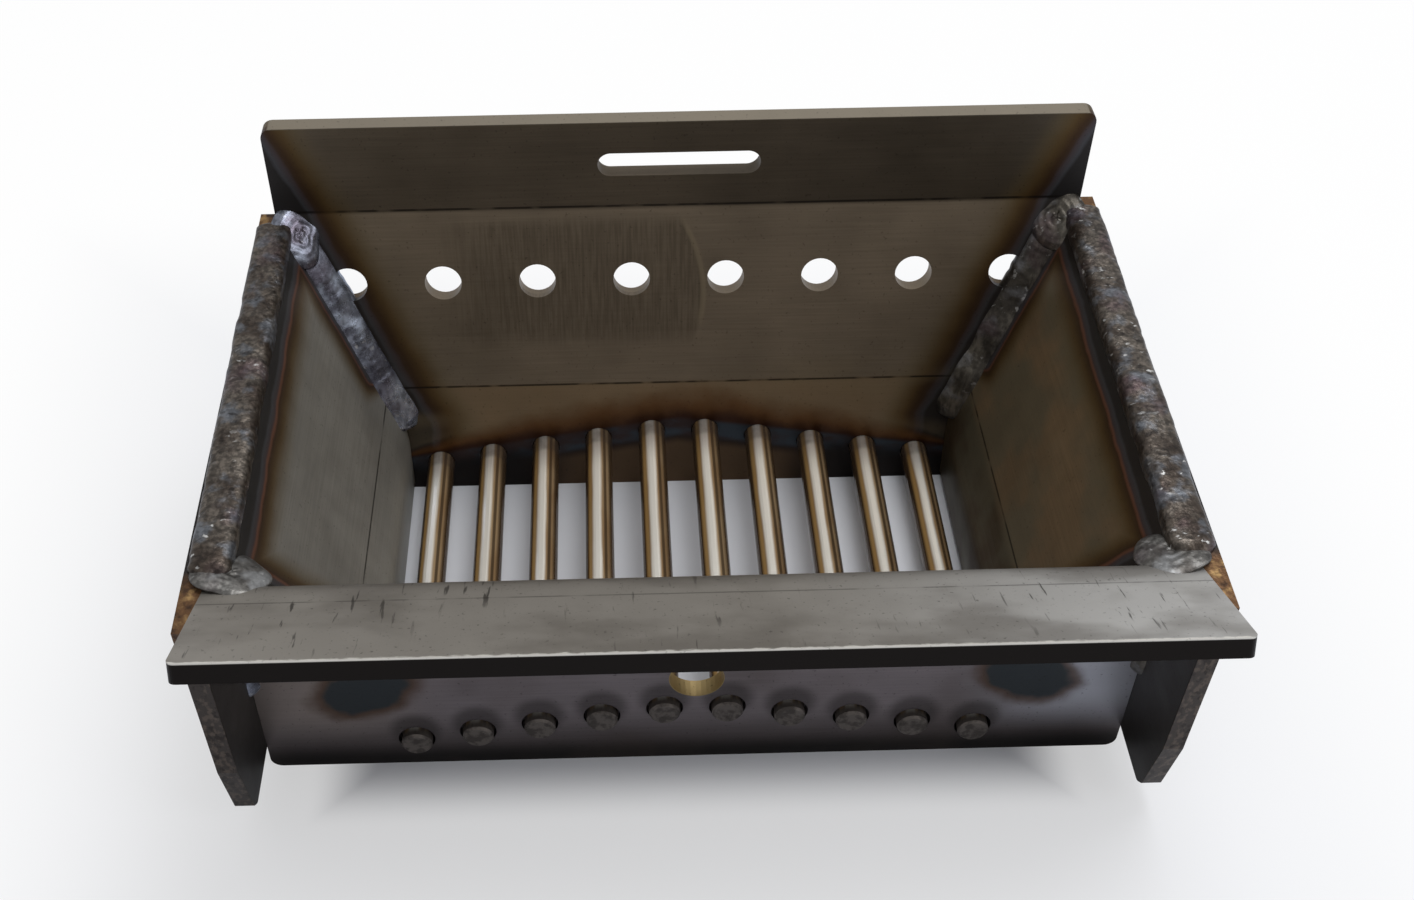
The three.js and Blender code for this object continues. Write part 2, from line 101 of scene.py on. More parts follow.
def back_y(z):
    """Front face of the back plate at height z, below the flange."""
    if z < BACK_BEND_Z:
        return BACK_FOOT_Y + z * tan(BACK_LOW_LEAN)
    return BACK_BEND_Y + (z - BACK_BEND_Z) * tan(BACK_LEAN)


def hopper_x(z):
    """Inner face of the right hopper plate at height z."""
    return HOPPER_X + max(0.0, z - HOPPER_BEND_Z) * tan(HOPPER_SLOPE)


def side_top_z(y):
    """Top edge of the side plates at depth y."""
    return SIDE_TOP_FRONT_Z + (y - SIDE_TOP_FRONT_Y) * SIDE_TOP_SLOPE


# ---- colours and shader nodes --------------------------------------------------------------------
def hexcolour(text):
    """An sRGB hex value as linear RGBA."""
    values = [int(text[i:i + 2], 16) / 255 for i in (1, 3, 5)]
    return [v / 12.92 if v <= 0.04045 else ((v + 0.055) / 1.055) ** 2.4 for v in values] + [1.0]


def node(tree, kind, inputs=(), **settings):
    """Adds a shader node: settings are its properties, inputs are values or sockets by name or number."""
    made = tree.nodes.new("ShaderNode" + kind)
    for name, value in settings.items():
        setattr(made, name, value)
    for name, value in dict(inputs).items():
        if isinstance(value, bpy.types.NodeSocket):
            tree.links.new(value, made.inputs[name])
        else:
            made.inputs[name].default_value = value
    return made


class Field:
    """A number that varies over the surface, so that heat and wear can be written as sums."""

    def __init__(self, tree, socket):
        self.tree, self.socket = tree, socket

    def _math(self, operation, other=None):
        inputs = {0: self.socket}
        if other is not None:
            inputs[1] = other.socket if isinstance(other, Field) else other
        return Field(self.tree, node(self.tree, "Math", inputs, operation=operation).outputs[0])

    def __add__(self, other):
        return self._math("ADD", other)

    def __sub__(self, other):
        return self._math("SUBTRACT", other)

    def __mul__(self, other):
        return self._math("MULTIPLY", other)

    def __truediv__(self, other):
        return self._math("DIVIDE", other)

    def __abs__(self):
        return self._math("ABSOLUTE")

    def lowest(self, other):
        return self._math("MINIMUM", other)

    def highest(self, other):
        return self._math("MAXIMUM", other)

    def fract(self):
        return self._math("FRACT")

    def root(self):
        return self._math("SQRT")

    def ramp(self, low, high, to_low=0.0, to_high=1.0):
        """Goes softly from to_low to to_high while the number goes from low to high."""
        made = node(self.tree, "MapRange", {0: self.socket, 1: low, 2: high, 3: to_low, 4: to_high},
                    interpolation_type="SMOOTHSTEP")
        return Field(self.tree, made.outputs[0])


class Surface:
    """One material in the making: place in millimetres, colour so far, height so far, roughness so far."""

    def __init__(self, name, colour, metallic, roughness):
        self.material = bpy.data.materials.new(name)
        self.material.use_nodes = True
        self.tree = self.material.node_tree
        self.tree.nodes.clear()
        place = node(self.tree, "TexCoord").outputs["Object"]
        self.place = node(self.tree, "VectorMath", {0: place, "Scale": 1 / MM}, operation="SCALE").outputs[0]
        split = node(self.tree, "SeparateXYZ", {0: self.place})
        self.x, self.y, self.z = (Field(self.tree, split.outputs[i]) for i in range(3))
        self.colour = node(self.tree, "RGB").outputs[0]
        self.colour.default_value = hexcolour(colour)
        self.metallic = metallic
        self.rough = Field(self.tree, node(self.tree, "Value").outputs[0])
        self.rough.socket.default_value = roughness
        self.height = None

    def noise(self, size_mm, stretch=(1, 1, 1), detail=3.0, seed=0.0):
        """Noise with features of about size_mm, drawn longer along the axes with a larger stretch."""
        scaled = node(self.tree, "VectorMath", {0: self.place, 1: [1 / (size_mm * s) for s in stretch]},
                      operation="MULTIPLY").outputs[0]
        made = node(self.tree, "TexNoise", {"Vector": scaled, "W": seed, "Scale": 1.0, "Detail": detail},
                    noise_dimensions="4D")
        return Field(self.tree, made.outputs["Fac"])

    def tint(self, amount, colour):
        """Lays a colour over the surface where amount is 1."""
        second = colour if isinstance(colour, bpy.types.NodeSocket) else hexcolour(colour)
        made = node(self.tree, "Mix", {0: amount.socket, 6: self.colour, 7: second}, data_type="RGBA")
        self.colour = made.outputs[2]
        return self

    def shade(self, amount, low, high):
        """Multiplies the colour by low where amount is 0 and by high where it is 1."""
        factor = amount.ramp(0.0, 1.0, low, high)
        made = node(self.tree, "VectorMath", {0: self.colour, "Scale": factor.socket}, operation="SCALE")
        self.colour = made.outputs[0]
        return self

    def heat(self, distance, reach=1.0, copper="#5d3f31"):
        """Oxide colours beside a weld: distance in millimetres from its edge, spread by reach."""
        bands = node(self.tree, "ValToRGB", {0: (distance * (1 / (HEAT_REACH * reach))).socket})
        stops = [(0.0, "#262527"), (0.06, "#45464b"), (0.15, "#463d40"), (0.21, copper), (0.27, "#3d2814"),
                 (0.46, "#5a4524"), (0.75, "#6a5b3d")]
        ramp = bands.color_ramp
        for place, colour in stops[1:-1]:
            ramp.elements.new(place)
        for element, (place, colour) in zip(ramp.elements, stops):
            element.position = place
            element.color = hexcolour(colour)
        fading = distance.ramp(9.0 * reach, HEAT_REACH * reach, 0.93, 0.0)
        return self.tint(fading, bands.outputs[0])

    def bump(self, field, depth_mm):
        """Raises the surface by up to depth_mm where field is 1."""
        lift = field * depth_mm
        self.height = lift if self.height is None else self.height + lift
        return self

    def done(self):
        shader = node(self.tree, "BsdfPrincipled", {"Base Color": self.colour, "Metallic": self.metallic,
                                                    "Roughness": self.rough.socket})
        if self.height is not None:
            relief = node(self.tree, "Bump", {"Height": self.height.socket, "Distance": MM, "Strength": 1.0})
            self.tree.links.new(relief.outputs[0], shader.inputs["Normal"])
        node(self.tree, "OutputMaterial", {0: shader.outputs[0]})
        return self.material


# ---- materials -----------------------------------------------------------------------------------
# Mill-finish stainless plate: hot rolled and pickled, so it is a flat satin grey with faint rolling lines,
# soft cloudy patches and fine scuffs. Rolling lines are really 0.05 mm apart and are drawn 0.5 mm apart.
def mill_plate(name, colour, along=(40, 1, 1), metallic=0.72, roughness=0.46):
    s = Surface(name, colour, metallic, roughness)
    s.shade(s.noise(24, detail=2.0, seed=1.0), 0.80, 1.22)
    lines = s.noise(0.55, along, detail=2.0, seed=2.0)
    s.shade(lines, 0.86, 1.14)
    s.rough = s.rough + (s.noise(9, detail=4.0, seed=3.0) - 0.5) * 0.22
    s.bump(lines, 0.012)
    s.bump(s.noise(1.6, detail=4.0, seed=4.0), 0.018)
    return s


def grit(s, seed, amount=0.5):
    """Small dark specks and pits, such as plate and cut edges carry. Real ones are 0.1 mm, drawn 0.5 mm."""
    specks = s.noise(0.9, detail=2.0, seed=seed).ramp(0.62, 0.74, 0.0, amount)
    return s.tint(specks, "#1b1511")


def scribed_line(s, across, width, strength, seed):
    """A thin etched bend mark, broken along its length."""
    broken = s.noise(7, (1, 1, 1), detail=1.0, seed=seed).ramp(0.34, 0.5, 0.25, 1.0)
    mark = (abs(across).ramp(width * 0.4, width, strength, 0.0)) * broken
    return s.tint(mark, "#15100c")


# The back plate: warm grey-brown from the fire, burnt blue-black low down between the rods, with an arch of
# brown heat over the rods, a darker flange graded from light at its left end to dark at its right as painted
# light, and a paler patch brushed with an abrasive disc.
def back_plate_finish():
    s = mill_plate("mill_finish_stainless_back", "#706556")
    side = abs(s.x)
    on_flange = s.z.ramp(FLANGE_BEND_Z - 1, FLANGE_BEND_Z + 1)
    s.shade(on_flange, 1.0, 0.62)
    # painted light: the flange is painted lighter at its left end and darker at its right end
    s.shade(s.x.ramp(-90.0, 100.0) * on_flange, 1.3, 0.8)
    # brushed patch left of the middle, with a sharp right edge
    foot_face = s.z * tan(BACK_LOW_LEAN) + BACK_FOOT_Y
    lean_face = (s.z - BACK_BEND_Z) * tan(BACK_LEAN) + BACK_BEND_Y
    inner_face = (s.y - lean_face.highest(foot_face).lowest(FLANGE_Y)).ramp(2.5, 1.5)
    from_middle = s.z - BRUSHED_MIDDLE_Z
    past_patch = s.x + from_middle * from_middle * BRUSHED_BOW - BRUSHED_RIGHT_X
    patch_width = s.x.ramp(BRUSHED_LEFT_X, BRUSHED_LEFT_X + 22) * past_patch.ramp(0.5, -1.0)
    patch_height = s.z.ramp(BRUSHED_LOW_Z, BRUSHED_LOW_Z + 8) * s.z.ramp(BRUSHED_HIGH_Z, BRUSHED_HIGH_Z - 5)
    strokes = s.noise(0.6, (1, 4, 50), detail=3.0, seed=11.0)
    s.tint(inner_face * patch_width * patch_height * strokes.ramp(0.35, 0.65, 0.3, 0.75), "#5d5345")
    disc_edge = abs(past_patch).ramp(0.3, 1.2, 0.5, 0.0)
    disc_height = (s.z.ramp(BRUSHED_LOW_Z + 6, BRUSHED_LOW_Z + 12)
                   * s.z.ramp(BRUSHED_HIGH_Z - 1, BRUSHED_HIGH_Z - 7))
    s.tint(inner_face * disc_edge * disc_height, "#94876f")
    # warm cast over the whole lower half
    s.tint(s.z.ramp(BACK_BEND_Z - 0.4, BACK_BEND_Z + 0.8, 0.55, 0.0), "#927a59")
    # heat beside the corner fillets; the outer face, heated only through the plate, has no burnt band
    slant = side * -1.0 + (s.z - HOPPER_BEND_Z).highest(0.0) * tan(HOPPER_SLOPE) + HOPPER_X
    from_fillet = abs(slant) * 0.92 - 5.6 + (s.noise(11, detail=2.0, seed=17.0) - 0.5) * 3.0
    s.heat(from_fillet.highest(0.0) + inner_face.ramp(1.0, 0.0, 0.0, 6.5), 0.6, "#3c2a1d")
    # heat over the row of rods, which falls off in an arch: brown, burnt brown, then blue-black between them
    above_rods = s.z + side * (ROD_RISE / ROD_PITCH) - (ROD_LOW + (ROD_COUNT - 1) / 2 * ROD_RISE)
    arch = ((s.x * s.x) * (-12.0 / HOPPER_X ** 2) + 15.0).highest(3.0)
    wobble = (s.noise(12, detail=3.0, seed=12.0) - 0.5) * 0.7
    faded = (above_rods - 3.6) / arch + wobble
    s.tint(faded.ramp(1.0, 0.25, 0.0, 0.9), "#664321")
    s.tint(faded.ramp(0.42, 0.0, 0.0, 0.92), "#33190f")
    blue = s.noise(6, (2, 1, 1), detail=3.0, seed=18.0).ramp(0.38, 0.58, 0.3, 0.95)
    s.tint(above_rods.ramp(4.4, 2.6, 0.0, 1.0) * blue, "#39424a")
    s.tint(above_rods.ramp(-1.5, -4.0, 0.0, 0.95), "#2b1e15")
    s.tint(above_rods.ramp(-3.0, -6.5, 0.0, 0.9) * side.ramp(26, 44, 1.0, 0.0), "#5c4833")
    s.tint(above_rods.ramp(3.0, -2.0, 0.0, 0.9) * side.ramp(34, 50), "#120d0b")
    # pale clouds below the bend, bend marks, paler cut top edge
    cloud = s.noise(20, (2.4, 1, 1), detail=2.0, seed=13.0).ramp(0.45, 0.62, 0.0, 0.4)
    s.tint(s.z.ramp(36, 50, 1.0, 0.0) * faded.ramp(0.7, 1.2) * cloud, "#8c7d62")
    scribed_line(s, s.z - BACK_BEND_Z, 0.45, 0.85, 14.0)
    scribed_line(s, s.z - (FLANGE_BEND_Z + 0.6), 0.5, 0.8, 15.0)
    s.tint(s.z.ramp(BACK_TOP_Z - 0.3, BACK_TOP_Z - 0.05) * 0.9, "#8b8375")
    grit(s, 16.0, 0.35)
    return s.done()


# The front plate: a wiped, silvery lip with dark scuffs and a bright burr on its front edge, over a wall of
# violet-grey oxide that turns black towards the bottom, with two oval heat marks and a bright centre hole.
def front_plate_finish():
    s = mill_plate("mill_finish_stainless_front", "#7b7477")
    on_lip = s.y.ramp(LIP_MEET_Y + 3.0, LIP_MEET_Y - 1.0) * s.z.ramp(74, 80)
    s.tint(on_lip * 0.95, "#95918a")
    # painted light: the lip is painted brighter towards its right end
    s.tint(on_lip * s.x.ramp(5, 95, 0.0, 0.85), "#c2c2c1")
    s.tint(on_lip * s.noise(22, (1.8, 1, 1), detail=4.0, seed=21.0).ramp(0.46, 0.64, 0.0, 0.55), "#625d56")
    # painted shade: a darker band along the lip's rear edge, where the plate rounds over into the wall
    s.tint(on_lip * s.y.ramp(LIP_MEET_Y - 8, LIP_MEET_Y, 0.0, 0.45), "#4c4741")
    scuff = s.noise(3.4, (0.4, 4, 4), detail=3.0, seed=22.0).ramp(0.62, 0.68, 0.0, 0.8)
    s.tint(on_lip * scuff * s.noise(40, detail=1.0, seed=23.0).ramp(0.45, 0.6), "#2b2724")
    scribed_line(s, s.y - (LIP_MEET_Y - LIP_LINE), 0.35, 0.45, 24.0)
    # dark cut edges round the lip, with a bright ragged burr along the top of the front one
    level, rise = facing(LIP_SLOPE)
    ahead = (s.y - LIP_FRONT_Y) * level - (s.z - LIP_FRONT_Z) * rise
    depth = ((s.y - LIP_FRONT_Y) * rise + (s.z - LIP_FRONT_Z) * level) * -1.0
    ragged = (s.noise(1.1, (2.4, 1, 1), detail=3.0, seed=25.0) - 0.5) * 1.8
    s.tint((ahead + ragged).ramp(0.2, 0.8, 0.95, 0.0) * depth.ramp(0.5, 0.2), "#e2e0da")
    s.tint(depth.ramp(0.25, 0.5) * s.y.ramp(LIP_MEET_Y - 6, LIP_MEET_Y - 9), "#110c0a")
    # upright wall: violet-grey above, dark towards the bottom edge; its ends are painted lighter as painted
    # light, the right end bluish
    wall = s.z.ramp(60, 50)
    s.tint(wall * s.z.ramp(22, 4, 0.0, 0.8), "#2c2420")
    s.tint(wall * s.z.ramp(9, 2, 0.0, 0.95), "#110d0b")
    # painted light: both ends of the wall painted lighter, the right one with a bluish painted reflection
    s.tint(wall * s.x.ramp(-60, -95, 0.0, 0.5) * s.z.ramp(6, 24), "#94887d")
    s.tint(wall * s.x.ramp(62, 95, 0.0, 0.8) * s.z.ramp(6, 24), "#b6b9c3")
    s.tint(wall * s.noise(34, (1, 1, 1), detail=3.0, seed=28.0).ramp(0.45, 0.7, 0.0, 0.35), "#4a3f38")
    # oval heat marks from the inside tacks
    for side in SIDES.values():
        from_tack_z = s.z - TACK_Z
        dx = (s.x - side * (HOPPER_X + TACK_OUT) + from_tack_z * (TACK_RAKE * side)) * (1 / TACK_HALF_WIDTH)
        dz = from_tack_z * (1 / TACK_HALF_HEIGHT)
        ragged_mark = (s.noise(7, detail=2.0, seed=26.0) - 0.5) * 0.55
        away = (dx * dx + dz * dz).root() + ragged_mark
        s.tint(wall * away.ramp(1.45, 0.95, 0.0, 0.85), "#4a3322")
        s.tint(wall * away.ramp(1.02, 0.8, 0.0, 0.92), "#2a3338")
    # painted shadow over the top of each rod hole, standing for the shade in the gap round the bar
    for i in range(ROD_COUNT):
        rod_x = (i - (ROD_COUNT - 1) / 2) * ROD_PITCH
        rod_z = ROD_LOW + ROD_RISE * min(i, ROD_COUNT - 1 - i)
        dx, dz = s.x - rod_x, s.z - (rod_z + SOOT_ABOVE_ROD)
        away = (dx * dx + dz * dz).root()
        s.tint(wall * away.ramp(8.2, 4.2, 0.0, 0.55), "#1d1816")
    # centre hole: machined bright
    from_hole_z = s.z - CENTRE_HOLE_Z
    bore = (s.x * s.x + from_hole_z * from_hole_z).root()
    s.tint(bore.ramp(CENTRE_HOLE_R + 0.22, CENTRE_HOLE_R + 0.05, 0.0, 0.95), "#a08c60")
    grit(s, 27.0, 0.45)
    return s.done()


# The side plates: dark satin plate, darker towards the bottom, with coarse grain on the cut front edge and
# bronze and straw where the seam ends leave the plate's corners bare.
def side_plate_finish():
    s = mill_plate("mill_finish_stainless_side", "#4a4744", along=(1, 40, 1))
    s.shade(s.z.ramp(8, 60), 0.62, 1.05)
    below_chamfer = (s.z * -1.0 + SIDE_CHAMFER_Z).highest(0.0)
    behind_edge = (s.y + (s.z - SIDE_TOP_FRONT_Z) * SIDE_EDGE_RAKE - SIDE_TOP_FRONT_Y
                   + below_chamfer * (SIDE_EDGE_RAKE - SIDE_CHAMFER_RAKE))
    cut_face = behind_edge.ramp(0.75, 0.4)
    s.tint(cut_face * 0.9, "#37302c")
    s.tint(cut_face * s.noise(1.3, (1, 1, 1.6), detail=4.0, seed=31.0).ramp(0.48, 0.62, 0.0, 0.7), "#5c5148")
    s.tint(cut_face * s.noise(1.6, (1, 1, 1.6), detail=4.0, seed=36.0).ramp(0.52, 0.64, 0.0, 0.85), "#211a16")
    below_top = s.z * -1.0 + s.y * SIDE_TOP_SLOPE + (SIDE_TOP_FRONT_Z - SIDE_TOP_FRONT_Y * SIDE_TOP_SLOPE)
    s.heat((below_top - 2.0).highest(0.0), 0.4)
    top = below_top.ramp(7, 0.4)
    bare = s.y.ramp(LIP_MEET_Y + 3, LIP_MEET_Y - 2) + s.y.ramp(FLANGE_Y - 6, FLANGE_Y - 2)
    s.tint(bare * top * 0.95, "#654930")
    s.tint(bare * top * s.noise(3.2, detail=5.0, seed=32.0).ramp(0.5, 0.68, 0.0, 0.85), "#a98a5c")
    s.tint(bare * top * s.noise(4.5, detail=5.0, seed=34.0).ramp(0.5, 0.62, 0.0, 0.85), "#33231a")
    s.bump(s.noise(1.4, detail=4.0, seed=35.0) * top, 0.25)
    grit(s, 33.0, 0.5)
    return s.done()


# The hopper plates: the left one is painted a lighter, clean grey-green as painted light, the right one a
# darker brown as painted shade. Both have a copper line and brown clouds beside the welds.
def hopper_plate_finish(word):
    # lit and shaded copies of one plate: the left one gets painted light, the right one painted shade
    lit = word == "left"
    s = mill_plate(f"mill_finish_stainless_hopper_{word}", "#92908a" if lit else "#826e54", along=(1, 40, 1))
    # the plate turns upright below the scribed bend line; there the left one is painted a little lighter as
    # painted light and the right one dark as painted shadow
    below_line = s.z.ramp(HOPPER_LINE_Z + 1, HOPPER_LINE_Z - 3, 0.0, 0.4 if lit else 0.75)
    s.tint(below_line, "#96958f" if lit else "#2b231a")
    s.shade(s.noise(5, (1, 1, 9), detail=1.0, seed=41.0), 0.93, 1.08)
    if not lit:
        s.tint(s.noise(24, detail=3.0, seed=45.0).ramp(0.40, 0.60, 0.0, 0.65), "#6b6857")
    # heat from the seam on top, the rear fillet and the front bend
    wobble = (s.noise(13, detail=3.0, seed=42.0) - 0.5) * 7.0
    from_top = s.z * -1.0 + s.y * SIDE_TOP_SLOPE + (SIDE_TOP_FRONT_Z - SIDE_TOP_FRONT_Y * SIDE_TOP_SLOPE)
    from_back = s.y * -1.0 + (s.z - BACK_BEND_Z) * tan(BACK_LEAN) + BACK_BEND_Y
    from_front = s.y + (s.z - FRONT_BEND_Z).highest(0.0) * tan(FRONT_LEAN) - (FRONT_WALL_Y + PLATE)
    low = s.z.ramp(34, 46, 16.0, 0.0)
    nearest = (from_top - 4.2).lowest(from_back - 5.0 + low).lowest(from_front - 6.0 + low)
    s.heat((nearest + wobble * 0.35).highest(0.0), 0.5, "#754c3a")
    scribed_line(s, s.z - HOPPER_LINE_Z, 0.4, 0.85, 43.0)
    grit(s, 44.0, 0.3)
    return s.done()


# Drawn round bar: bright, with bronze patches, a painted highlight stripe along its top, painted shade on its
# flanks, a straw band and a dark line painted as reflections, and fine lines along the bar, really 0.05 mm
# apart and drawn 0.3 mm apart.
def rod_finish():
    s = Surface("drawn_stainless_bar", "#b39a77", 0.55, 0.25)
    off_axis = ((s.x * (1 / ROD_PITCH) + ROD_COUNT / 2).fract() - 0.5) * ROD_PITCH
    s.shade(s.noise(0.5, (1, 90, 1), detail=2.0, seed=51.0), 0.75, 1.2)
    s.tint(s.noise(9, (1, 2.5, 1), detail=2.0, seed=52.0).ramp(0.4, 0.62, 0.0, 0.5), "#8d6c47")
    # painted shade in dark brown on both flanks, a painted highlight stripe along the top, a straw band
    # painted as a reflection on the left flank, and a dark line painted as a reflection right of the top
    s.tint(abs(off_axis).ramp(2.2, 3.4, 0.0, 0.9), "#3d2b1c")
    s.tint(abs(off_axis + 2.6).ramp(0.2, 0.7, 0.75, 0.0), "#c09a5e")
    scoured = abs(off_axis + 0.6 + (s.noise(3, (1, 8, 1), detail=2.0, seed=55.0) - 0.5) * 0.9)
    s.tint(scoured.ramp(0.7, 1.6, 1.0, 0.0), "#fffcf4")
    s.tint(abs(off_axis - 1.7).ramp(0.2, 0.6, 0.8, 0.0), "#33251a")
    # both ends are burnt: brown towards the back plate, grey and pitted on the front end face
    end_face = s.y.ramp(FRONT_WALL_Y - 0.9, FRONT_WALL_Y - 1.2)
    scale = s.noise(2.5, detail=2.0, seed=56.0)
    s.tint(s.y.ramp(BACK_FOOT_Y - 5, BACK_FOOT_Y - 3, 0.0, 0.75) * scale, "#4c4a49")
    s.tint(s.y.ramp(BACK_FOOT_Y - 16, BACK_FOOT_Y - 1, 0.0, 0.5), "#4c3b2c")
    s.tint(s.y.ramp(FRONT_WALL_Y + 3, FRONT_WALL_Y - 0.6, 0.0, 1.0), "#605a56")
    s.tint(end_face * s.noise(2.2, detail=4.0, seed=57.0).ramp(0.42, 0.6, 0.0, 0.8), "#37322f")
    s.bump(end_face * s.noise(1.0, detail=4.0, seed=58.0), 0.12)
    s.rough = s.rough + s.y.ramp(FRONT_WALL_Y + 4, FRONT_WALL_Y, 0.0, 0.25)
    s.bump(s.noise(0.3, (30, 1, 30), detail=1.0, seed=53.0), 0.045)
    s.bump(s.noise(1.2, detail=3.0, seed=54.0), 0.02)
    return s.done()


# Stainless weld bead: oxide in uneven blotches, brown-black in the hollows and blue-grey on the crests, with
# a fine grain, a few bright specks as painted glints and dark slag specks. run draws the blotches out along
# the bead.
def weld_finish(name, colour, dark, bright, gloss=0.36, size=1.0, sparkle=0.9, grain_depth=1.0,
                run=(1, 1, 1)):
    s = Surface(name, colour, 0.75, gloss)
    s.shade(s.noise(1.5, run, detail=4.0, seed=71.0).ramp(0.35, 0.65), 0.7, 1.35)
    s.tint(s.noise(9 * size, detail=5.0, seed=61.0).ramp(0.42, 0.6, 0.0, 0.8), dark)
    s.tint(s.noise(6 * size, detail=5.0, seed=62.0).ramp(0.5, 0.66, 0.0, 0.8), bright)
    s.tint(s.noise(13 * size, detail=2.0, seed=63.0).ramp(0.54, 0.7, 0.0, 0.35), "#5a4450")
    grain = s.noise(1.3, detail=4.0, seed=68.0)
    s.shade(grain.ramp(0.35, 0.65), 1 - 0.3 * grain_depth, 1 + 0.25 * grain_depth)
    patchy = s.noise(14, detail=2.0, seed=70.0).ramp(0.42, 0.62)
    # painted glints: bright specks standing for light caught by the bead's facets
    spatter = s.noise(1.9, (1.3, 0.8, 1), detail=6.0, seed=64.0).ramp(0.6, 0.67, 0.0, sparkle)
    s.tint(spatter * patchy, "#d5d6d6")
    slag = s.noise(3.1, (1.3, 0.8, 1), detail=6.0, seed=69.0).ramp(0.58, 0.66, 0.0, 0.75 * sparkle)
    s.tint(slag, "#1c1817")
    s.rough = s.rough + (s.noise(2.2, detail=3.0, seed=65.0) - 0.5) * 0.3
    s.bump(grain, 0.22 * grain_depth)
    s.bump(s.noise(0.7, detail=3.0, seed=67.0), 0.10 * grain_depth)
    return s.done()


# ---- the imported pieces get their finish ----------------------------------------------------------
def dress(names, material):
    for name in names:
        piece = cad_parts[name]
        piece.data.materials.clear()
        piece.data.materials.append(material)


def break_edges(names, width_mm):
    """Every sheet edge is slightly rounded by deburring, which makes it catch the light."""
    for name in names:
        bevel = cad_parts[name].modifiers.new("deburred_edges", "BEVEL")
        bevel.width = width_mm * MM
        bevel.segments = 2
        bevel.limit_method = "ANGLE"
        bevel.angle_limit = math.radians(40)
        bevel.harden_normals = True


break_edges(["back_plate", "front_plate", "side_plate_right", "side_plate_left"], 0.35)
dress(["back_plate"], back_plate_finish())
dress(["front_plate"], front_plate_finish())
dress(["side_plate_right", "side_plate_left"], side_plate_finish())
for word in SIDES:
    dress([f"hopper_plate_{word}"], hopper_plate_finish(word))
dress([f"grate_rod_{i + 1}" for i in range(ROD_COUNT)], rod_finish())

# Seam beads: dark, rough, with painted glints. Pads: paler and flatter. Corner beads: drawn out along the
# run, the left one painted lighter with a bluish painted sheen as painted light, the right one darker as
# painted shade. Ring and tack beads: small and dark.
seam_bead = weld_finish("stainless_seam_bead", "#57514b", "#382f29", "#6b7078")
pad_bead = weld_finish("stainless_pad_bead", "#6a6967", "#403c39", "#8b8d8f",
                       gloss=0.4, size=1.3, sparkle=0.6, grain_depth=0.45)
# lit and shaded copies of one corner bead: the left one painted light with a bluish painted sheen, the right
# one painted shade
corner_bead = {
    "right": weld_finish("stainless_corner_bead_right", "#56524b", "#2e2a26", "#75767a",
                         gloss=0.36, size=1.5, sparkle=0.3, grain_depth=0.35, run=(1, 1, 5)),
    "left": weld_finish("stainless_corner_bead_left", "#828896", "#474550", "#b4bfd2",
                        gloss=0.28, size=1.4, sparkle=0.4, grain_depth=0.35, run=(1, 1, 5)),
}
ring_bead = weld_finish("stainless_ring_bead", "#3f4048", "#221d1c", "#6a6d76")
dress([f"rod_weld_{i + 1}" for i in range(ROD_COUNT)], ring_bead)
dress([f"hopper_front_weld_{word}" for word in SIDES], ring_bead)


# ---- weld beads with their ripples ---------------------------------------------------------------
def eased(t):
    """Softens the steps between random values."""
    return t * t * (3 - 2 * t)


def smooth_noise(seed, count, period):
    """Even random swells between -1 and 1 along a bead."""
    random = np.random.default_rng(seed)
    knots = random.uniform(-1, 1, int(count / period) + 4)
    at = np.arange(count) / period
    low = at.astype(int)
    t = eased(at - low)
    return knots[low] * (1 - t) + knots[low + 1] * t


def lumps(seed, rings, around, period):
    """Uneven swells between -1 and 1 over a bead's skin, the same where the skin meets itself."""
    random = np.random.default_rng(seed)
    knots = random.uniform(-1, 1, (int(rings / period) + 3, max(3, int(around / 4))))
    r, a = np.meshgrid(np.arange(rings) / period, np.arange(around) / around * knots.shape[1], indexing="ij")
    r0, a0 = r.astype(int), a.astype(int)
    t, u = eased(r - r0), eased(a - a0)
    a1 = (a0 + 1) % knots.shape[1]
    return ((knots[r0, a0] * (1 - u) + knots[r0, a1] * u) * (1 - t)
            + (knots[r0 + 1, a0] * (1 - u) + knots[r0 + 1, a1] * u) * t)


def mesh_piece(name, points, faces, material, node_name):
    """A weld built from points in millimetres, shown in place of the plain weld node_name."""
    mesh = bpy.data.meshes.new(name)
    mesh.from_pydata([tuple(p * MM) for p in points], [], faces)
    mesh.validate()
    mesh.materials.append(material)
    mesh.polygons.foreach_set("use_smooth", [True] * len(mesh.polygons))
    piece = bpy.data.objects.new(name, mesh)
    bpy.context.scene.collection.objects.link(piece)
    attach(piece, "root")
    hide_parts(node_name)
    return piece


def tube_faces(rings, around, mirrored):
    """Four-sided faces between neighbouring rings of points, and a cap on each end."""
    strip = [(a, (a + 1) % around, (a + 1) % around + around, a + around) for a in range(around)]
    faces = [tuple(i + r * around for i in face) for r in range(rings - 1) for face in strip]
    faces += [tuple(reversed(range(around))), tuple(range((rings - 1) * around, rings * around))]
    return [tuple(reversed(face)) for face in faces] if mirrored else faces


def kept_inside(points, side):
    """Stops a weld short of the side plate's outer face, and mirrors it for the left side."""
    points[:, 0] = np.minimum(points[:, 0], SIDE_OUTER_X - 0.02) * side
    return points


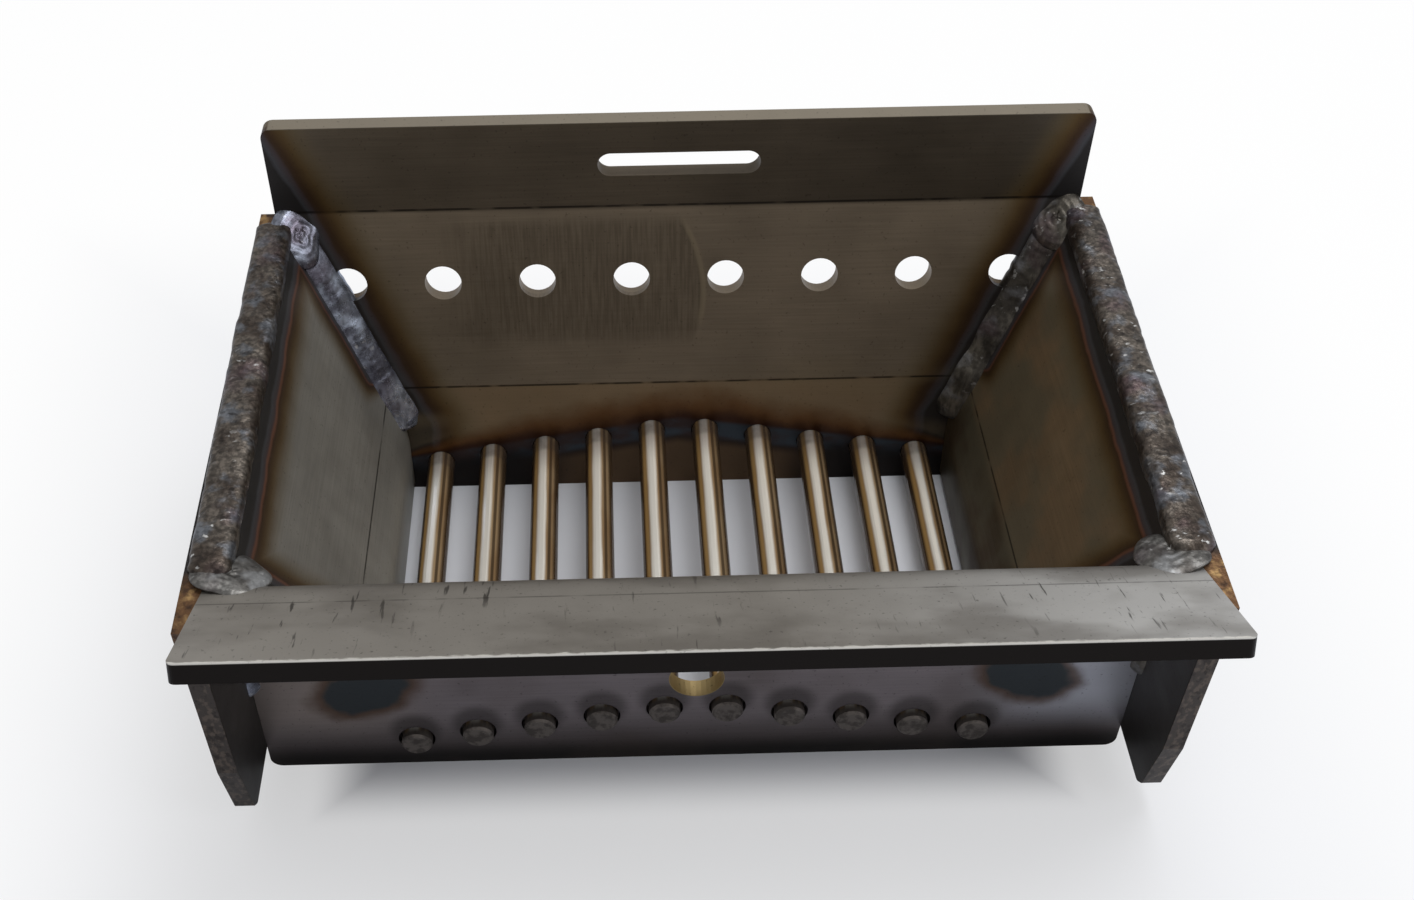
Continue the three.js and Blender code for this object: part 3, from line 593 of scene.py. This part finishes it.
def bead(name, path, normal, across, half_width, height, ripple, seed, material, side, squareness=0.8,
         sink=1.0, around=36):
    """A bead laid along path. normal points out of the plates and across lies over them; ripple is its
    (pitch, depth), squareness below 1 fills out the section, sink is how far it reaches into the joint."""
    rings = len(path)
    width = half_width * (1 + 0.05 * smooth_noise(seed, rings, 16) + 0.025 * smooth_noise(seed + 1, rings, 5))
    crown = height * (1 + 0.10 * smooth_noise(seed + 2, rings, 22))
    lengths = np.concatenate([[0], np.cumsum(np.linalg.norm(np.diff(path, axis=0), axis=1))])
    from_end = np.minimum(lengths, lengths[-1] - lengths)
    ends = np.minimum(1, from_end / (half_width * 0.7) + 0.02) ** 0.5
    angle = 2 * math.pi * np.arange(around) / around
    u = np.sign(np.cos(angle)) * np.abs(np.cos(angle)) ** squareness
    v = np.sign(np.sin(angle)) * np.abs(np.sin(angle)) ** squareness
    # ripples are bowed like the back of the weld pool, deeper in some stretches than in others
    pitch, depth = ripple
    bow = (u * half_width) ** 2 / (half_width * 1.4)
    phase = (lengths[:, None] + bow[None, :]) / pitch + 0.6 * smooth_noise(seed + 4, rings, 11)[:, None]
    strength = 0.6 + 0.4 * smooth_noise(seed + 5, rings, 15)[:, None]
    lift = depth * strength * np.abs(np.sin(math.pi * phase)) + 0.20 * lumps(seed + 6, rings, around, 16)
    lift = lift + 0.07 * lumps(seed + 7, rings, around, 5)
    up = np.where(v > 0, crown[:, None] * v, sink * v) + lift * np.maximum(v, 0)
    out = u[None, :] * width[:, None]
    points = (path[:, None, :] + across[:, None, :] * (out * ends[:, None])[:, :, None]
              + normal[:, None, :] * (up * ends[:, None])[:, :, None]).reshape(-1, 3)
    return mesh_piece(name, kept_inside(points, side), tube_faces(rings, around, side < 0), material,
                      name.replace("_bead", "_weld"))


def top_seam(word, side, steps=340):
    """Cap bead over the top edges of a side plate and its hopper plate."""
    y = np.linspace(LIP_MEET_Y - 1.0, back_y(SIDE_TOP_REAR_Z) + 0.6, steps)
    z = side_top_z(y)
    inner = np.array([hopper_x(v) for v in z]) - 1.0
    outer = SIDE_OUTER_X - 0.1
    path = np.stack([(inner + outer) / 2, y, z - 0.9], axis=1)
    across = np.tile([1.0, 0.0, 0.0], (steps, 1))
    normal = np.tile([0.0, 0.0, 1.0], (steps, 1))
    return bead(f"top_seam_bead_{word}", path, normal, across, half_width=float(np.mean(outer - inner)) / 2,
                height=3.4, ripple=(1.5, 0.07), seed=12 - 5 * side, material=seam_bead, side=side,
                squareness=0.62, sink=2.0)


def rear_corner(word, side, steps=200):
    """Fillet down the corner between a hopper plate and the back plate."""
    z = np.linspace(SIDE_TOP_REAR_Z - 1.5, 23.5, steps)
    path = np.stack([[hopper_x(v) for v in z], [back_y(v) for v in z], z], axis=1)
    tangent = np.gradient(path, axis=0)
    tangent /= np.linalg.norm(tangent, axis=1)[:, None]
    hopper_out, hopper_up = facing(HOPPER_SLOPE)
    back_out, back_up = facing(BACK_LEAN)
    out = np.tile(np.array([-hopper_out, -back_out, hopper_up + back_up]), (steps, 1))
    out -= tangent * np.sum(out * tangent, axis=1)[:, None]
    out /= np.linalg.norm(out, axis=1)[:, None]
    across = np.cross(tangent, out)
    return bead(f"rear_corner_bead_{word}", path + out * 0.9, out, across, half_width=5.8, height=3.0,
                ripple=(2.2, 0.06), seed=10 - 5 * side, material=corner_bead[word], side=side,
                squareness=0.72, sink=1.5)


def dome(centre, up, size, crater, seed, ripples, around=56, rings=34):
    """A frozen puddle: a low dome of half sizes size, with rings of ripples and a shallow crater where the
    arc stopped. crater and ripples are shares of its height."""
    random = np.random.default_rng(seed)
    lobes = random.uniform(-0.07, 0.07, 4)
    up = np.array(up) / np.linalg.norm(up)
    over = np.cross([0.0, 1.0, 0.0], up)
    over /= np.linalg.norm(over)
    axes = np.array([over, np.cross(up, over), up])
    skin = lumps(seed, rings + 1, around, 6)
    points = [np.array([0.0, 0.0, 1.0 - crater])]
    for r in range(1, rings + 1):
        t = r / rings
        for a in range(around):
            angle = 2 * math.pi * a / around
            reach = 1 + sum(lobe * math.cos((k + 2) * angle + seed) for k, lobe in enumerate(lobes))
            lift = (1 - t ** 3.0) ** 0.7 if t < 1 else 0.0
            lift += (ripples * math.sin(t * 26 + math.cos(angle)) + 0.07 * skin[r, a]) * (1 - t)
            lift -= crater * math.exp(-(t / 0.3) ** 2)
            points.append(np.array([math.cos(angle) * t * reach, math.sin(angle) * t * reach, lift]))
    points.append(np.array([0.0, 0.0, -0.6]))
    return (np.array(points) * np.array(size)) @ axes + np.array(centre)


def dome_faces(mirrored, around=56, rings=34):
    """A fan round the dome's top point, four-sided faces down its skin and a fan to the point below."""
    faces = [(0, 1 + a, 1 + (a + 1) % around) for a in range(around)]
    for r in range(rings - 1):
        inner, outer = 1 + r * around, 1 + (r + 1) * around
        for a in range(around):
            b = (a + 1) % around
            faces.append((inner + a, outer + a, outer + b, inner + b))
    rim = 1 + (rings - 1) * around
    faces += [(rim + a, rim + around, rim + (a + 1) % around) for a in range(around)]
    return [tuple(reversed(face)) for face in faces] if mirrored else faces


def rear_puddle(word, side):
    """Puddle on top of the rear corner fillet, where it runs into the seam."""
    z = SIDE_TOP_REAR_Z - 2.5
    centre = (hopper_x(z) - 1.2, back_y(z) - 1.6, z)
    points = kept_inside(dome(centre, up=(-0.8, -0.85, 0.95), size=(8.2, 9.4, 2.7), crater=0.03,
                              seed=5 + side, ripples=0.05), side)
    points[:, 1] = np.minimum(points[:, 1], back_y(z) + PLATE / 2)      # it ends inside the back plate
    return mesh_piece(f"rear_puddle_{word}", points, dome_faces(side < 0), corner_bead[word],
                      f"rear_corner_weld_{word}")


def front_pad(word, side):
    """Pad at the front end of the seam, where the lip's bend and the hopper plate meet."""
    centre = (SIDE_INNER_X - 5.6, LIP_MEET_Y + 1.8, LIP_MEET_Z + 0.3)
    points = kept_inside(dome(centre, up=(-0.2, 0.22, 0.95), size=(8.6, 8.0, 1.7), crater=0.12,
                              seed=8 + side, ripples=0.06), side)
    return mesh_piece(f"front_pad_{word}", points, dome_faces(side < 0), pad_bead,
                      f"front_corner_weld_{word}")


def front_outer(word, side, steps=90):
    """Fillet outside, between the front wall and the side plate in front of it."""
    z = np.linspace(30.0, LIP_MEET_Z - 6.0, steps)
    y = FRONT_WALL_Y - np.maximum(0, z - FRONT_BEND_Z) * tan(FRONT_LEAN)
    path = np.stack([np.full(steps, SIDE_INNER_X), y, z], axis=1)
    out = np.tile(np.array([-1.0, -1.0, 0.0]) / math.sqrt(2), (steps, 1))
    across = np.tile(np.array([1.0, -1.0, 0.0]) / math.sqrt(2), (steps, 1))
    return bead(f"front_outer_bead_{word}", path, out, across, half_width=3.4, height=1.9, ripple=(2.2, 0.2),
                seed=23 + side, material=corner_bead[word], side=side)


for word, side in SIDES.items():
    top_seam(word, side)
    rear_corner(word, side)
    rear_puddle(word, side)
    front_pad(word, side)
    front_outer(word, side)


# ---- floor, light and camera ---------------------------------------------------------------------
# Matt pale paper: it takes the pot's shadow, and to the camera it turns plain white away from the pot.
def white_floor():
    half = 1.5
    mesh = bpy.data.meshes.new("floor")
    mesh.from_pydata([(-half, -half, 0), (half, -half, 0), (half, half, 0), (-half, half, 0)], [],
                     [(0, 1, 2, 3)])
    floor = bpy.data.objects.new("floor", mesh)
    bpy.context.scene.collection.objects.link(floor)
    material = bpy.data.materials.new("floor_paper")
    material.use_nodes = True
    tree = material.node_tree
    tree.nodes.clear()
    paper = node(tree, "BsdfDiffuse", {"Color": hexcolour("#dfe2e9")})
    lit = node(tree, "Emission", {"Color": hexcolour("#ffffff"), "Strength": 1.0})
    rays = node(tree, "LightPath")
    place = node(tree, "SeparateXYZ", {0: node(tree, "TexCoord").outputs["Object"]})
    beside = abs(Field(tree, place.outputs[0])) - HOPPER_X * MM
    pot_middle, pot_half = (FRONT_WALL_Y + BACK_FOOT_Y) / 2 * MM, (BACK_FOOT_Y - FRONT_WALL_Y) / 2 * MM
    outside = beside.highest(abs(Field(tree, place.outputs[1]) - pot_middle) - pot_half)
    white = outside.ramp(0.0, 0.02, 0.0, 0.5) + outside.ramp(0.02, 0.16, 0.0, 0.47)
    seen = white * Field(tree, rays.outputs["Is Camera Ray"])
    mixed = node(tree, "MixShader", {0: seen.socket, 1: paper.outputs[0], 2: lit.outputs[0]})
    node(tree, "OutputMaterial", {0: mixed.outputs[0]})
    mesh.materials.append(material)
    return floor


def lamp(name, place, aim, size, power):
    """A square studio lamp, in metres and watts."""
    light = bpy.data.lights.new(name, "AREA")
    light.shape = "SQUARE"
    light.size = size
    light.energy = power
    lamp_object = bpy.data.objects.new(name, light)
    lamp_object.location = place
    lamp_object.rotation_euler = (Vector(aim) - Vector(place)).to_track_quat("-Z", "Y").to_euler()
    bpy.context.scene.collection.objects.link(lamp_object)
    return lamp_object


def soft_world():
    """Even grey light from all round, shown as white to the camera."""
    world = bpy.data.worlds.new("studio")
    bpy.context.scene.world = world
    world.use_nodes = True
    tree = world.node_tree
    tree.nodes.clear()
    to_camera = node(tree, "LightPath").outputs["Is Camera Ray"]
    shown = node(tree, "Mix", {0: to_camera, 6: hexcolour("#bdbcbb"), 7: hexcolour("#ffffff")},
                 data_type="RGBA")
    strength = node(tree, "MapRange", {0: to_camera, 3: 1.15, 4: 1.0})
    back = node(tree, "Background", {"Color": shown.outputs[2], "Strength": strength.outputs[0]})
    node(tree, "OutputWorld", {0: back.outputs[0]})


# the photograph's camera, found by fitting the pot's edges
PHOTO_WIDTH_PX = 1414
PHOTO_CENTRE_PX = (707.0, 450.0)
FOCAL_PX = 1640.1
AXIS_PX = (634.6, 464.0)
CAMERA_PLACE = (-0.01888, -0.29275, 0.35221)        # metres
CAMERA_TURN = (46.122, 0.499, -1.397)               # degrees


def photo_camera():
    camera = bpy.data.cameras.new("photo_camera")
    camera.sensor_width = 36.0
    camera.sensor_fit = "HORIZONTAL"
    camera.lens = camera.sensor_width * FOCAL_PX / PHOTO_WIDTH_PX
    camera.shift_x = (PHOTO_CENTRE_PX[0] - AXIS_PX[0]) / PHOTO_WIDTH_PX
    camera.shift_y = (AXIS_PX[1] - PHOTO_CENTRE_PX[1]) / PHOTO_WIDTH_PX
    camera.clip_start = 0.01
    holder = bpy.data.objects.new("photo_camera", camera)
    holder.location = CAMERA_PLACE
    holder.rotation_euler = [math.radians(a) for a in CAMERA_TURN]
    bpy.context.scene.collection.objects.link(holder)
    bpy.context.scene.camera = holder


white_floor()
soft_world()
lamp("ceiling_panel", place=(0.16, 0.10, 0.8), aim=(0, 0, 0.03), size=0.45, power=3.2)
lamp("window_right", place=(0.7, -0.35, 0.6), aim=(0, 0, 0.05), size=0.5, power=1.5)
photo_camera()
bpy.context.scene.view_settings.view_transform = "Standard"
